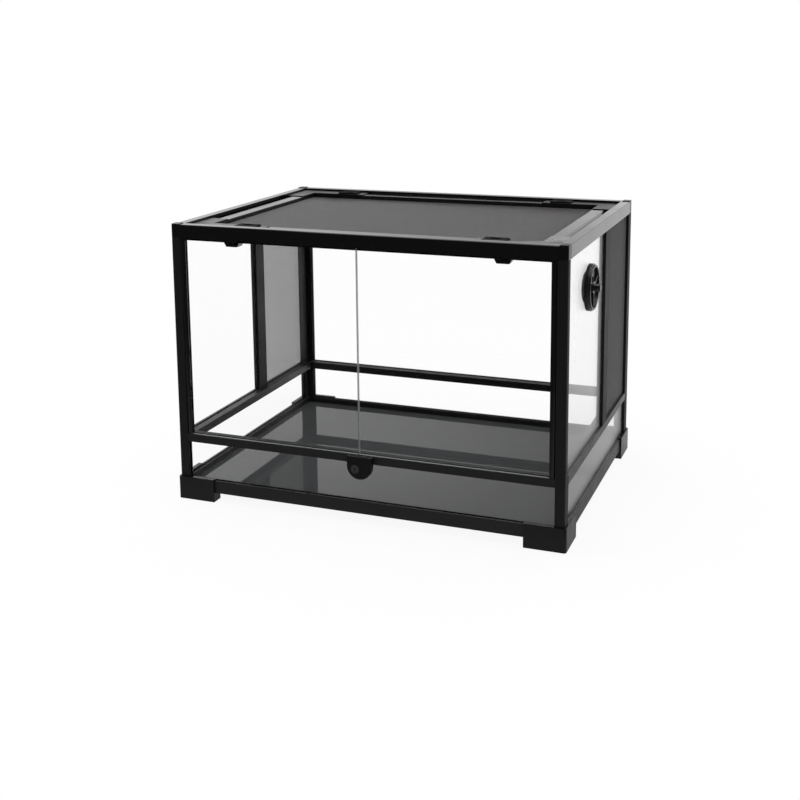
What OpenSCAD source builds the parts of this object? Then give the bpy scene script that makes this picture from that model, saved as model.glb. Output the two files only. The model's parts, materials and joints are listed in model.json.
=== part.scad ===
// Glass reptile terrarium: slotted plastic frame on four feet, two hinged front doors with a
// central lock, lift-off screen lid with four sliding latches, screened side vents, cable port.
// Millimetres. +Z up, front at -Y, origin in the middle of the footprint on the ground.

/* [Body] */
// Width over the frame rails
body_w = 610; // [580:5:640]
// Depth over the frame rails
body_d = 457; // [430:1:480]
// Height from the ground to the top of the frame
body_h = 433; // [415:1:470]
// Skin thickness of the hollow rails
skin = 2; // [1.6:0.1:2.2]

/* [Panes] */
// Thickness of the fixed panes
glass_t = 4; // [3.6:0.1:4.2]
// How far the panes lie behind the faces of the frame
pane_in = 4.5; // [4.2:0.1:4.8]
// Clearance on each side of a pane in its slot
slot_gap = 0.1; // [0.05:0.05:0.2]
// Thickness of the inner lip of a slot
lip_t = 1.8; // [1.4:0.1:2]

/* [Bottom frame] */
// Ground to the underside of the bottom rails
rail_lift = 14.5; // [12:0.5:18]
// Height of the bottom rails
bottom_h = 19.5; // [18:0.5:21]
// Depth of the pane slots in the bottom rails
bottom_slot = 10; // [8:0.5:11]
// Thickness of the floor panel
floor_t = 4; // [3:0.5:5]
// Depth of the floor's top below the bottom rails' top
floor_sunk = 9.1; // [8.6:0.1:10]
// Width of the ledges under the floor panel
floor_ledge = 10; // [8:0.5:12]
// Thickness of the ledges
ledge_t = 2; // [1.6:0.1:2.4]

/* [Feet] */
// Length of each arm of a foot from the frame corner
foot_arm = 59; // [50:1:66]
// Thickness of a foot's outer wall
foot_wall = 3; // [2.4:0.1:3.6]
// Height of a foot
foot_h = 36; // [35.8:0.1:37]
// Width of a foot's sole inside the frame face
foot_sole = 17; // [14:0.5:20]

/* [Middle rails] */
// Ground to the underside of the middle rails
mid_z = 93; // [85:0.5:110]
// Height of the middle rails
mid_h = 12; // [11.5:0.5:14]
// Depth of the middle rails
mid_deep = 20; // [19:0.5:22]
// Depth of the pane slots in the middle rails
mid_slot = 5; // [4:0.25:5]

/* [Top frame] */
// Height of the top rails
top_h = 20; // [19.5:0.5:24]
// Width of the top rails
top_w = 15; // [14.5:0.5:17]
// Bevel along the outer top edges
top_bevel = 1; // [0.4:0.1:1.5]
// Depth of the pane slots in the top rails
top_slot = 10; // [8:0.5:10.5]
// Width of the ledges that carry the lid
lid_ledge = 18; // [16:0.5:20]
// Drop of the stop lip behind the doors' top edge
stop_drop = 4.5; // [3:0.25:6]
// Width of a corner cap along the front
cap_w = 13; // [12:0.5:14]
// How far the corner caps stand above the rails
cap_rise = 1; // [0.5:0.1:1.5]
// Radius of the outer vertical edges
edge_r = 2.2; // [1.5:0.1:3]

/* [Posts] */
// Width of the front posts seen from the front
post_front_w = 15; // [14.5:0.5:18]
// Width of the front posts' side faces above the middle rails
post_side_up = 12; // [11.5:0.5:14]
// Width of the front posts' side faces below the middle rails
post_side_low = 18.5; // [16:0.5:19]
// Width of the rear posts seen from the rear
post_rear_w = 20; // [18:0.5:22]
// Width of the rear posts' side faces
post_rear_side = 21.5; // [20:0.5:23]
// Width of the inner flange beside the rear posts
vent_flange = 20; // [14:0.5:24]

/* [Side uprights and vents] */
// Front edge of the uprights behind the middle of the depth
mullion_y = 21; // [5:1:40]
// Width of the uprights
mullion_w = 29; // [26:0.5:32]
// Width of the uprights' core
mullion_core = 9; // [7:0.5:11]
// Thickness of the mesh sheets
mesh_t = 0.9; // [0.8:0.1:1.2]
// Width of the hem of the vent meshes
hem_w = 5; // [4:0.5:6]
// Strand width of the meshes
strand = 3; // [2.4:0.2:4]
// Mesh gaps along the width of a vent
vent_cols = 5; // [4:1:6]
// Mesh gaps up the height of a vent
vent_rows = 10; // [8:1:12]

/* [Doors] */
// Thickness of the door panes
door_t = 4; // [3.6:0.1:4.2]
// Radius of the hinge strips' nose
nose_r = 3.2; // [3:0.05:3.4]
// Front of the frame to the hinge axis
hinge_in = 3.5; // [3.4:0.05:3.7]
// Gap between a hinge strip and its post
hinge_gap = 0.6; // [0.5:0.05:0.8]
// Reach of a hinge strip over its pane, from the axis
strip_reach = 4.5; // [4:0.25:5.5]
// How far a door pane goes into its hinge strip
strip_bite = 2.5; // [2:0.1:2.5]
// Radius of the hinge pins
pin_r = 1.5; // [1.2:0.1:1.7]
// Radial clearance of turning pins
run_gap = 0.05; // [0.03:0.01:0.1]
// Gap above and below the doors
door_gap = 0.6; // [0.5:0.05:0.8]
// Gap between the two doors
seam_gap = 1.5; // [1:0.1:2.5]
// Sideways place of the seam between the doors
seam_x = -3.7; // [-6:0.1:6]

/* [Door lock] */
// Radius of the rounded lower end of the lock housing
lock_r = 19.5; // [19:0.25:22]
// Height of the lock housing
lock_h = 34.2; // [34:0.2:37]
// How far the lock housing stands out
lock_out = 7.5; // [7.4:0.1:8.5]
// Wall of the lock housing
lock_wall = 1.8; // [1.4:0.1:1.8]
// Sideways place of the lock cylinder
cyl_x = -6.6; // [-7.5:0.1:-5]
// Lower end of the lock housing to the middle of the lock cylinder
cyl_rise = 15.4; // [15:0.1:16]
// Radius of the lock cylinder
cyl_r = 6.5; // [6:0.1:6.8]
// Travel of the bolt
bolt_lift = 6; // [5:0.1:6]
// Thickness of the bolt
bolt_t = 2.4; // [2:0.1:2.4]
// Width of the bolt's arm round the crank pin
arm_w = 14; // [13:0.5:14.5]
// Radius of the crank pin
crank_pin_r = 1.3; // [1.1:0.05:1.4]

/* [Lid] */
// Rail face to the lid's bars
lid_in = 25; // [24:0.5:26]
// Width of the lid's bars
bar_w = 22; // [20:0.5:24]
// Height of the lid's bars
bar_h = 9; // [8.5:0.25:10]
// Depth of the lid's bars below the top of the frame
lid_sunk = 4.3; // [4.2:0.1:5]
// Width of the slope along the outer edge of the lid's bars
bar_slope = 3; // [2.5:0.1:3.5]
// Wall of the lid's bars
bar_wall = 1.6; // [1.2:0.1:1.8]
// How far the mesh goes under the bars
mesh_bite = 12; // [10:0.5:13]
// How far the lid corners stand out beyond the bars
corner_out = 8; // [7:0.25:8.5]
// How far the lid corners stand above the bars
corner_rise = 1.2; // [0.8:0.1:1.3]
// Length of a lid corner along the front
corner_x = 125; // [115:1:130]
// Length of a lid corner along the side
corner_y = 75; // [60:1:90]
// Mesh gaps along the width of the lid
lid_cols = 12; // [10:1:13]
// Mesh gaps along the depth of the lid
lid_rows = 8; // [7:1:9]

/* [Latches] */
// Side of the frame to the inner end of a latch
latch_in = 129; // [125:0.5:131]
// Length of a latch's thumb pad
latch_l = 36; // [32:1:40]
// Width of a latch's thumb pad
latch_w = 24; // [20:0.5:24]
// Thickness of a latch's thumb pad
latch_t = 2.2; // [1.8:0.1:2.4]
// Travel of a latch
latch_travel = 10; // [8:0.5:10]
// Length of a latch's leg
leg_l = 8; // [7:0.25:9]
// Thickness of a latch's leg
leg_w = 5; // [4:0.25:5]
// Reach of the hook beyond the leg
hook_l = 8; // [7:0.25:9]
// Height of the hook
hook_h = 3; // [2.4:0.1:3.2]
// Width of a catch on the top rails
catch_w = 25; // [22:0.5:28]
// Lowest point of a catch below the underside of the top rails
catch_drop = 12; // [10:0.5:13]

/* [Cable port] */
// Middle of the depth to the port's middle
port_y = -79; // [-110:1:-60]
// Top of the frame to the port's middle
port_drop = 86; // [75:1:160]
// Radius of the port's rim
port_r = 35; // [33:0.5:38]
// Thickness of the port outside the pane
port_t = 9.5; // [9:0.1:10.5]
// Thickness of the port's floor
port_floor = 2.5; // [2.2:0.1:2.7]
// Width of the port's rim
rim_w = 5; // [4.5:0.25:6]
// Height of the step in the port's rim
rim_step = 2.9; // [2:0.1:3.5]
// Outer radius of the tube through the pane
tube_r = 20; // [19:0.25:21]
// Wall of the tube
tube_wall = 2.5; // [2:0.1:3]
// Length of the tube behind the outer face of the pane
tube_l = 6.5; // [6.2:0.1:8]
// Thickness of the flat nut on the tube
nut_h = 1.6; // [1.4:0.1:1.9]
// Width of the nut's ring
nut_w = 2; // [1.8:0.1:2.5]
// Thickness of the shutter
shutter_t = 2; // [1.6:0.1:2.2]
// Radius of the boss in the middle of the shutter
boss_r = 9; // [8:0.25:9.25]
// Radius of the shutter's pivot
pivot_r = 3; // [2.5:0.1:3.5]
// Length of the shutter's knob beyond the rim
knob_out = 8.5; // [7:0.5:12]
// Radius of the shutter's knob
knob_r = 5.75; // [5:0.25:6.5]
// Inner radius of the port's windows
window_in = 10; // [9.5:0.25:11]
// Half angle of a port window
window_half = 26; // [20:1:28]

/* [Hidden] */
$fn = 48;
eps = 1;
half_w = body_w / 2;
half_d = body_d / 2;
u1 = pane_in - slot_gap;
u2 = pane_in + glass_t + slot_gap;
u3 = u2 + lip_t;
bottom_z1 = rail_lift + bottom_h;
bottom_seat = bottom_z1 - bottom_slot;
floor_z1 = bottom_z1 - floor_sunk;
floor_z0 = floor_z1 - floor_t;
mid_z1 = mid_z + mid_h;
mid_seat_up = mid_z1 - mid_slot;
mid_seat_low = mid_z + mid_slot;
top_z0 = body_h - top_h;
top_seat = top_z0 + top_slot;
lid_z1 = body_h - lid_sunk;
lid_z0 = lid_z1 - bar_h;
lid_gap = 0.3;
ledge_z1 = lid_z0 - lid_gap;
ledge_z0 = ledge_z1 - ledge_t;
ledge_u = top_w + lid_ledge;
corner_z1 = lid_z1 + corner_rise;
corner_u = lid_in - corner_out;
bar_u1 = lid_in + bar_w;
mesh_u = bar_u1 - mesh_bite;
mesh_z0 = lid_z0 + 1.4;
slope_h = 1.4 * bar_slope;
slot_z0 = mesh_z0 - 0.1;
slot_z1 = mesh_z0 + mesh_t + 0.1;
flange_t = 1.6;
cap_y = top_w;
hinge_x = half_w - post_front_w - hinge_gap - nose_r;
hinge_y = -half_d + hinge_in;
door_z0 = mid_z1 + door_gap;
door_z1 = top_z0 - door_gap;
stop_u = hinge_in + nose_r + 0.4;
mullion_end = mullion_y + mullion_w;
core_y0 = mullion_y + (mullion_w - mullion_core) / 2;
core_y1 = core_y0 + mullion_core;
front_pane_x = half_w - u3 - 0.3;
rear_pane_x = half_w - u3 - 1.1;
side_y0 = -half_d + pane_in + 0.1;
low_y0 = -half_d + u3 + 0.2;
rear_stop = u3 + 2.1;
lock_z1 = mid_z1 - 0.3;
lock_z0 = lock_z1 - lock_h;
lock_face = -half_d - lock_out;
lock_mid = lock_z0 + lock_r;
cyl_z = lock_z0 + cyl_rise;
crank_r = bolt_lift / (2 * sin(45));
crank_a = 45;
bolt_y1 = -half_d - 0.7;
bolt_y0 = bolt_y1 - bolt_t;
crank_y1 = bolt_y0 - 0.3;
crank_y0 = lock_face + lock_wall + 0.1;
bolt_half = lock_r - lock_wall - 2;
latch_u = corner_u + 4;
latch_x = half_w - latch_in;
leg_u = latch_u + 0.5;
leg_x = latch_x + 2;
notch_x0 = latch_x;
notch_x1 = leg_x + leg_l + latch_travel + 2;
hook_z0 = top_z0 - 1.5;
catch_z0 = top_z0 - catch_drop;
catch_u1 = leg_u + leg_w + 2.2;
port_x0 = half_w - pane_in;
port_x1 = port_x0 + port_t;
knob_end = port_x1 + knob_out;
port_z = body_h - port_drop;
shutter_x0 = port_x0 + port_floor + 0.4;
shutter_x1 = shutter_x0 + shutter_t;
shutter_r = port_r - rim_w - 0.4;
shut_turn = 60;
cylinder_face = lock_face - 0.8;
frame_right = max(knob_end, half_w + foot_wall);
shift_x = -(frame_right - half_w - foot_wall) / 2;
shift_y = -(cylinder_face + half_d + foot_wall) / 2;
black = [0.07, 0.07, 0.075];
black_soft = [0.11, 0.11, 0.115];
clear = [0.75, 0.85, 0.83, 0.35];
dark_floor = [0.3, 0.31, 0.32];
wire = [0.22, 0.22, 0.23];

// ---------------------------------------------------------------- placing helpers
module placed() {
  translate([shift_x, shift_y, 0]) children();
}

module flip_x(on) {
  if (on) {
    mirror([1, 0, 0]) children();
  } else {
    children();
  }
}

module flip_y(on) {
  if (on) {
    mirror([0, 1, 0]) children();
  } else {
    children();
  }
}

// Corner coordinates: x inward from the left face, y inward from the front face
module at_corner(right, rear) {
  placed() flip_x(right) flip_y(rear) translate([-half_w, -half_d, 0]) children();
}

// A profile (inward distance, height) drawn along X against the front face
module along_x(half) {
  translate([-half, -half_d, 0]) rotate([90, 0, 90]) linear_extrude(2 * half) children();
}

// A profile (inward distance, height) drawn along Y against the left face
module along_y(y0, y1) {
  translate([-half_w, y1, 0]) rotate([90, 0, 0]) linear_extrude(y1 - y0) children();
}

module round_off(r) {
  difference() {
    translate([-eps, -eps]) square(r + eps);
    translate([r, r]) circle(r);
  }
}

// ---------------------------------------------------------------- bottom frame
module bottom_profile() {
  polygon([[0, rail_lift], [0, bottom_z1 - 0.6], [0.6, bottom_z1], [u1, bottom_z1],
    [u1, bottom_z1 - flange_t], [skin, bottom_z1 - flange_t], [skin, bottom_seat],
    [u2, bottom_seat], [u2, bottom_z1], [u3, bottom_z1], [u3, rail_lift],
    [u2, rail_lift], [u2, bottom_seat - skin], [skin, bottom_seat - skin],
    [skin, rail_lift]]);
}

module bottom_long(rear) {
  placed() flip_y(rear) {
    along_x(half_w) bottom_profile();
    translate([-half_w + u3 + floor_ledge, -half_d + u3 - 0.5, floor_z0 - ledge_t])
      cube([body_w - 2 * (u3 + floor_ledge), floor_ledge + 0.5, ledge_t]);
  }
}

module bottom_side(right) {
  placed() flip_x(right) {
    along_y(-half_d + u3, half_d - u3) bottom_profile();
    translate([-half_w + u3 - 0.5, -half_d + u3, floor_z0 - ledge_t])
      cube([floor_ledge + 0.5, body_d - 2 * u3, ledge_t]);
  }
}

module bottom_rail_front() { color(black) bottom_long(false); }
module bottom_rail_rear() { color(black) bottom_long(true); }
module bottom_rail_left() { color(black) bottom_side(false); }
module bottom_rail_right() { color(black) bottom_side(true); }

module floor_panel() {
  color(dark_floor) placed()
    translate([-half_w + u3 + 0.2, -half_d + u3 + 0.2, floor_z0])
      cube([body_w - 2 * u3 - 0.4, body_d - 2 * u3 - 0.4, floor_t]);
}

module foot_plan(inner) {
  difference() {
    translate([-foot_wall, -foot_wall]) square(foot_arm + foot_wall);
    translate([inner, inner]) square(foot_arm);
    translate([-foot_wall, -foot_wall]) round_off(foot_wall + 1);
    translate([foot_arm, -foot_wall]) mirror([1, 0]) round_off(0.8);
    translate([-foot_wall, foot_arm]) mirror([0, 1]) round_off(0.8);
  }
}

// Shoe: sole under both rails, outer wall, and a lip over the rails beside the post
module foot(post_x, post_y) {
  linear_extrude(rail_lift) foot_plan(foot_sole);
  linear_extrude(foot_h) foot_plan(0);
  translate([post_x + 0.2, -0.5, bottom_z1])
    cube([foot_arm - post_x - 0.2, u1 - 0.1 + 0.5, foot_h - bottom_z1]);
  translate([-0.5, post_y + 0.2, bottom_z1])
    cube([u1 - 0.1 + 0.5, foot_arm - post_y - 0.2, foot_h - bottom_z1]);
}

module foot_front_left() {
  color(black_soft) at_corner(false, false) foot(post_front_w, post_side_low);
}

module foot_front_right() {
  color(black_soft) at_corner(true, false) foot(post_front_w, post_side_low);
}

module foot_rear_left() {
  color(black_soft) at_corner(false, true) foot(post_rear_w, post_rear_side);
}

module foot_rear_right() {
  color(black_soft) at_corner(true, true) foot(post_rear_w, post_rear_side);
}

// ---------------------------------------------------------------- posts
module front_slots(side, pane_slot) {
  translate([u1, pane_in]) square([u2 - u1, side]);
  if (pane_slot) {
    translate([half_w - front_pane_x - 0.1, u1]) square([post_front_w, u2 - u1]);
  }
}

module front_post_plan(side, pane_slot) {
  difference() {
    union() {
      square([post_front_w, u3]);
      square([u3, side]);
    }
    front_slots(side, pane_slot);
    round_off(edge_r);
    translate([post_front_w, 0]) mirror([1, 0]) round_off(0.6);
  }
}

module front_post() {
  translate([0, 0, bottom_z1]) linear_extrude(mid_z - bottom_z1)
    front_post_plan(post_side_low, true);
  difference() {
    translate([0, 0, mid_z]) linear_extrude(mid_h) difference() {
      square([post_front_w, mid_deep]);
      round_off(edge_r);
    }
    translate([0, 0, mid_z - eps]) linear_extrude(mid_slot + eps)
      front_slots(mid_deep, true);
    translate([0, 0, mid_seat_up]) linear_extrude(mid_slot + eps)
      front_slots(mid_deep, false);
  }
  translate([0, 0, mid_z1]) linear_extrude(top_z0 - mid_z1)
    front_post_plan(post_side_up, false);
}

module rear_slots() {
  translate([u1, rear_stop]) square([u2 - u1, post_rear_side]);
  translate([half_w - rear_pane_x - 0.1, u1]) square([post_rear_w, u2 - u1]);
}

module rear_post_plan(flange) {
  difference() {
    union() {
      square([post_rear_w, u3]);
      square([u3, post_rear_side]);
      if (flange) {
        translate([u2, 0]) square([lip_t, post_rear_side + vent_flange]);
      }
    }
    rear_slots();
    round_off(edge_r);
  }
}

module rear_post() {
  translate([0, 0, bottom_z1]) linear_extrude(mid_z - bottom_z1) rear_post_plan(false);
  difference() {
    translate([0, 0, mid_z]) linear_extrude(mid_h) difference() {
      square([post_rear_w, post_rear_side]);
      round_off(edge_r);
    }
    translate([0, 0, mid_z - eps]) linear_extrude(mid_slot + eps) rear_slots();
    translate([0, 0, mid_seat_up]) linear_extrude(mid_slot + eps) rear_slots();
  }
  translate([0, 0, mid_z1]) linear_extrude(top_z0 - mid_z1) rear_post_plan(true);
}

module post_front_left() { color(black) at_corner(false, false) front_post(); }
module post_front_right() { color(black) at_corner(true, false) front_post(); }
module post_rear_left() { color(black) at_corner(false, true) rear_post(); }
module post_rear_right() { color(black) at_corner(true, true) rear_post(); }

// ---------------------------------------------------------------- middle rails
module mid_profile() {
  polygon([[0, mid_z + 0.4], [0, mid_z1 - 0.4], [0.4, mid_z1], [u1, mid_z1],
    [u1, mid_z1 - flange_t], [skin, mid_z1 - flange_t], [skin, mid_seat_up],
    [u2, mid_seat_up], [u2, mid_z1], [mid_deep, mid_z1], [mid_deep, mid_z],
    [mid_deep - flange_t, mid_z], [mid_deep - flange_t, mid_z1 - flange_t],
    [u3, mid_z1 - flange_t], [u3, mid_z], [u2, mid_z], [u2, mid_seat_low],
    [skin, mid_seat_low], [skin, mid_z + flange_t], [u1, mid_z + flange_t],
    [u1, mid_z], [0.4, mid_z]]);
}

module sill_profile() {
  polygon([[0, mid_z + 0.4], [0, mid_z1 - 0.4], [0.4, mid_z1], [stop_u, mid_z1],
    [stop_u, mid_z1 + 1.2], [stop_u + skin, mid_z1 + 1.2], [stop_u + skin, mid_z1],
    [mid_deep, mid_z1], [mid_deep, mid_z], [mid_deep - flange_t, mid_z],
    [mid_deep - flange_t, mid_z1 - skin], [u3, mid_z1 - skin], [u3, mid_z], [u2, mid_z],
    [u2, mid_seat_low], [skin, mid_seat_low], [skin, mid_z + flange_t],
    [u1, mid_z + flange_t], [u1, mid_z], [0.4, mid_z]]);
}

module pin_holes(z, depth) {
  for (s = [-1, 1])
    translate([s * hinge_x, hinge_y, z]) cylinder(r = pin_r + run_gap, h = depth);
}

module mid_rail_front() {
  color(black) placed() difference() {
    along_x(half_w - post_front_w) sill_profile();
    pin_holes(mid_z1 - 3.6, 3.6 + eps);
  }
}

module mid_rail_rear() {
  color(black) placed() flip_y(true) along_x(half_w - post_rear_w) mid_profile();
}

module mid_side(right) {
  placed() flip_x(right)
    along_y(-half_d + mid_deep, half_d - post_rear_side) mid_profile();
}

module mid_rail_left() { color(black) mid_side(false); }
module mid_rail_right() { color(black) mid_side(true); }

// ---------------------------------------------------------------- top frame
module top_profile() {
  polygon([[0, top_z0], [0, body_h - top_bevel], [top_bevel, body_h], [top_w, body_h],
    [top_w, ledge_z0], [top_w - skin, ledge_z0], [top_w - skin, body_h - skin],
    [skin, body_h - skin], [skin, top_seat + 1.5], [u3, top_seat + 1.5], [u3, top_z0],
    [u2, top_z0], [u2, top_seat], [skin, top_seat], [skin, top_z0 + flange_t],
    [u1, top_z0 + flange_t], [u1, top_z0]]);
}

module top_front_profile() {
  polygon([[0, top_z0], [0, body_h - top_bevel], [top_bevel, body_h], [top_w, body_h],
    [top_w, ledge_z0], [top_w - skin, ledge_z0], [top_w - skin, body_h - skin],
    [skin, body_h - skin], [skin, top_z0 + skin], [stop_u + skin, top_z0 + skin],
    [stop_u + skin, top_z0 - stop_drop], [stop_u, top_z0 - stop_drop], [stop_u, top_z0]]);
}

// Ledge with a notch for each latch's hook to pass, and the catches it slides into
module ledge_x() {
  difference() {
    translate([-half_w + ledge_u, -half_d + top_w - 0.5, ledge_z0])
      cube([body_w - 2 * ledge_u, lid_ledge + 0.5, ledge_t]);
    for (s = [0, 1])
      flip_x(s == 1) translate([notch_x0, -half_d + leg_u - 1.5, ledge_z0 - eps])
        cube([notch_x1 - notch_x0, leg_w + 3, ledge_t + 2 * eps]);
  }
  for (s = [0, 1])
    flip_x(s == 1) latch_catch();
}

module latch_catch() {
  difference() {
    translate([notch_x1, -half_d + catch_u1, 0]) rotate([90, 0, 0])
      linear_extrude(catch_u1 - top_w + skin)
        polygon([[0, ledge_z0 + 0.5], [catch_w, ledge_z0 + 0.5], [catch_w, top_z0 - 5],
          [catch_w - 4, catch_z0], [3, catch_z0], [0, top_z0 - 7]]);
    translate([notch_x1 - eps, -half_d + leg_u - 1, hook_z0 - 1])
      cube([hook_l + eps, leg_w + 2, hook_h + 2]);
  }
}

module top_rail_front() {
  color(black) placed() {
    difference() {
      along_x(half_w - cap_w) top_front_profile();
      pin_holes(top_z0 - eps, skin + 2 * eps);
      for (s = [0, 1])
        flip_x(s == 1) translate([half_w - post_front_w - 0.2, -half_d, top_z0 - 2 * stop_drop])
          cube([post_front_w, top_w, 2 * stop_drop]);
    }
    ledge_x();
  }
}

module top_rail_rear() {
  color(black) placed() flip_y(true) {
    along_x(half_w - cap_w) top_profile();
    ledge_x();
  }
}

module top_side(right) {
  placed() flip_x(right) {
    along_y(-half_d + cap_y, half_d - cap_y) top_profile();
    translate([-half_w + top_w - 0.5, -half_d + cap_y, ledge_z0])
      cube([lid_ledge + 0.5, body_d - 2 * cap_y, ledge_t]);
  }
}

module top_rail_left() { color(black) top_side(false); }
module top_rail_right() { color(black) top_side(true); }

// Hollow from below, with notches where the panes run into it from the rails
module corner_cap(rear) {
  difference() {
    translate([0, 0, top_z0]) linear_extrude(top_h + cap_rise) difference() {
      square([cap_w, cap_y]);
      round_off(edge_r);
    }
    translate([skin, skin, top_z0 - eps])
      cube([cap_w - 2 * skin, cap_y - 2 * skin, top_h - skin + eps]);
    translate([u1, cap_y - skin - eps, top_z0 - eps])
      cube([u2 - u1, skin + 2 * eps, top_slot + eps]);
    if (rear) {
      translate([cap_w - skin - eps, u1, top_z0 - eps])
        cube([skin + 2 * eps, u2 - u1, top_slot + eps]);
    }
  }
}

module corner_cap_front_left() { color(black_soft) at_corner(false, false) corner_cap(false); }
module corner_cap_front_right() { color(black_soft) at_corner(true, false) corner_cap(false); }
module corner_cap_rear_left() { color(black_soft) at_corner(false, true) corner_cap(true); }
module corner_cap_rear_right() { color(black_soft) at_corner(true, true) corner_cap(true); }

// ---------------------------------------------------------------- uprights, panes, vents
module mullion(right) {
  placed() flip_x(right) translate([-half_w, 0, mid_z1]) linear_extrude(top_z0 - mid_z1)
    difference() {
      translate([0, mullion_y]) square([u3, mullion_w]);
      translate([u1, mullion_y - eps]) square([u2 - u1, core_y0 - mullion_y + eps]);
      translate([u1, core_y1]) square([u2 - u1, mullion_end - core_y1 + eps]);
      translate([0, mullion_y]) round_off(0.6);
      translate([0, mullion_end]) mirror([0, 1]) round_off(0.6);
    }
}

module mullion_left() { color(black) mullion(false); }
module mullion_right() { color(black) mullion(true); }

module rear_pane(z0, z1) {
  color(clear) placed()
    translate([-rear_pane_x, half_d - pane_in - glass_t, z0])
      cube([2 * rear_pane_x, glass_t, z1 - z0]);
}

module side_pane(right, y0, y1, z0, z1) {
  placed() flip_x(right) translate([-half_w + pane_in, y0, z0])
    cube([glass_t, y1 - y0, z1 - z0]);
}

module rear_upper_glass() { rear_pane(mid_seat_up, top_seat - 0.2); }
module rear_lower_glass() { rear_pane(bottom_seat, mid_seat_low - 0.2); }

module left_upper_glass() {
  color(clear) side_pane(false, side_y0, core_y0 - 0.1, mid_seat_up, top_seat - 0.2);
}

module right_upper_glass() {
  color(clear) difference() {
    side_pane(true, side_y0, core_y0 - 0.1, mid_seat_up, top_seat - 0.2);
    placed() port_axis(port_x0 - 2 * glass_t) cylinder(r = tube_r + 0.2, h = 4 * glass_t);
  }
}

module left_lower_glass() {
  color(clear) side_pane(false, low_y0, half_d - rear_stop - 0.1, bottom_seat, mid_seat_low - 0.2);
}

module right_lower_glass() {
  color(clear) side_pane(true, low_y0, half_d - rear_stop - 0.1, bottom_seat, mid_seat_low - 0.2);
}

module front_lower_glass() {
  color(clear) placed()
    translate([-front_pane_x, -half_d + pane_in, bottom_seat])
      cube([2 * front_pane_x, glass_t, mid_seat_low - 0.2 - bottom_seat]);
}

// Flat net: a plate with a grid of gaps
module net(w, h, cols, rows) {
  px = (w + strand) / cols;
  py = (h + strand) / rows;
  difference() {
    translate([-strand, -strand]) square([w + 2 * strand, h + 2 * strand]);
    for (i = [0 : cols - 1])
      for (j = [0 : rows - 1])
        translate([i * px, j * py]) square([px - strand, py - strand]);
  }
}

module vent_mesh(right) {
  y0 = core_y1 + 0.1;
  y1 = half_d - rear_stop - 0.1;
  z0 = mid_seat_up;
  z1 = top_seat - 0.2;
  placed() flip_x(right) translate([-half_w + pane_in, 0, 0]) {
    difference() {
      translate([0, y0, z0]) cube([glass_t, y1 - y0, z1 - z0]);
      translate([-eps, y0 + hem_w, z0 + mid_slot])
        cube([glass_t + 2 * eps, y1 - y0 - 2 * hem_w, z1 - z0 - mid_slot - hem_w]);
    }
    translate([0, y0 + hem_w, z0 + mid_slot]) rotate([90, 0, 90]) linear_extrude(mesh_t)
      net(y1 - y0 - 2 * hem_w, z1 - z0 - mid_slot - hem_w, vent_cols, vent_rows);
  }
}

module vent_mesh_left() { color(wire) vent_mesh(false); }
module vent_mesh_right() { color(wire) vent_mesh(true); }

// ---------------------------------------------------------------- doors
// Drawn for the left door: axis at -hinge_x, pane towards the seam
module door_strip() {
  difference() {
    union() {
      translate([0, 0, door_z0]) linear_extrude(door_z1 - door_z0) {
        circle(nose_r);
        translate([0, -nose_r]) square([strip_reach, 2 * nose_r]);
      }
      translate([0, 0, mid_z1 - 1.7]) cylinder(r = pin_r, h = 3);
      translate([0, 0, mid_z1 + 0.1]) cylinder(r = nose_r - 0.4, h = 1);
      translate([0, 0, door_z1 - 1]) cylinder(r = pin_r, h = door_gap + skin + 0.6);
    }
    translate([strip_reach - strip_bite, -door_t / 2 - 0.05, door_z0 - 0.05])
      cube([strip_bite + eps, door_t + 0.1, door_z1 - door_z0 + eps]);
  }
}

module door_pane(x1) {
  x0 = -hinge_x + strip_reach - strip_bite;
  translate([x0 + 0.1, hinge_y - door_t / 2, door_z0])
    cube([x1 - x0 - 0.1, door_t, door_z1 - door_z0]);
}

module door_hinge_left() {
  color(black) placed() translate([-hinge_x, hinge_y, 0]) door_strip();
}

module door_hinge_right() {
  color(black) placed() flip_x(true) translate([-hinge_x, hinge_y, 0]) door_strip();
}

module door_glass_left() { color(clear) placed() door_pane(seam_x - seam_gap / 2); }

module door_glass_right() {
  color(clear) placed() flip_x(true) door_pane(-seam_x - seam_gap / 2);
}

// ---------------------------------------------------------------- door lock
module lock_plan(r, top) {
  intersection() {
    translate([0, lock_mid]) circle(r);
    translate([-r, lock_mid - r - eps]) square([2 * r, r + 2 * eps]);
  }
  translate([-r, lock_mid]) square([2 * r, top - lock_mid]);
}

// From a plan in X and height, a solid from y0 back to y1
module slab(y0, y1) {
  translate([0, y1, 0]) rotate([90, 0, 0]) linear_extrude(y1 - y0) children();
}

module lock_housing() {
  color(black_soft) placed() difference() {
    slab(lock_face, -half_d) lock_plan(lock_r, lock_z1);
    slab(crank_y0 - 0.1, -half_d + eps) lock_plan(lock_r - lock_wall, lock_z1 - lock_wall);
    translate([-bolt_half - 0.4, bolt_y0 - 0.3, lock_mid])
      cube([2 * bolt_half + 0.8, lock_out, lock_h]);
    slab(lock_face - eps, -half_d) translate([cyl_x, cyl_z]) circle(cyl_r + run_gap);
  }
}

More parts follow.
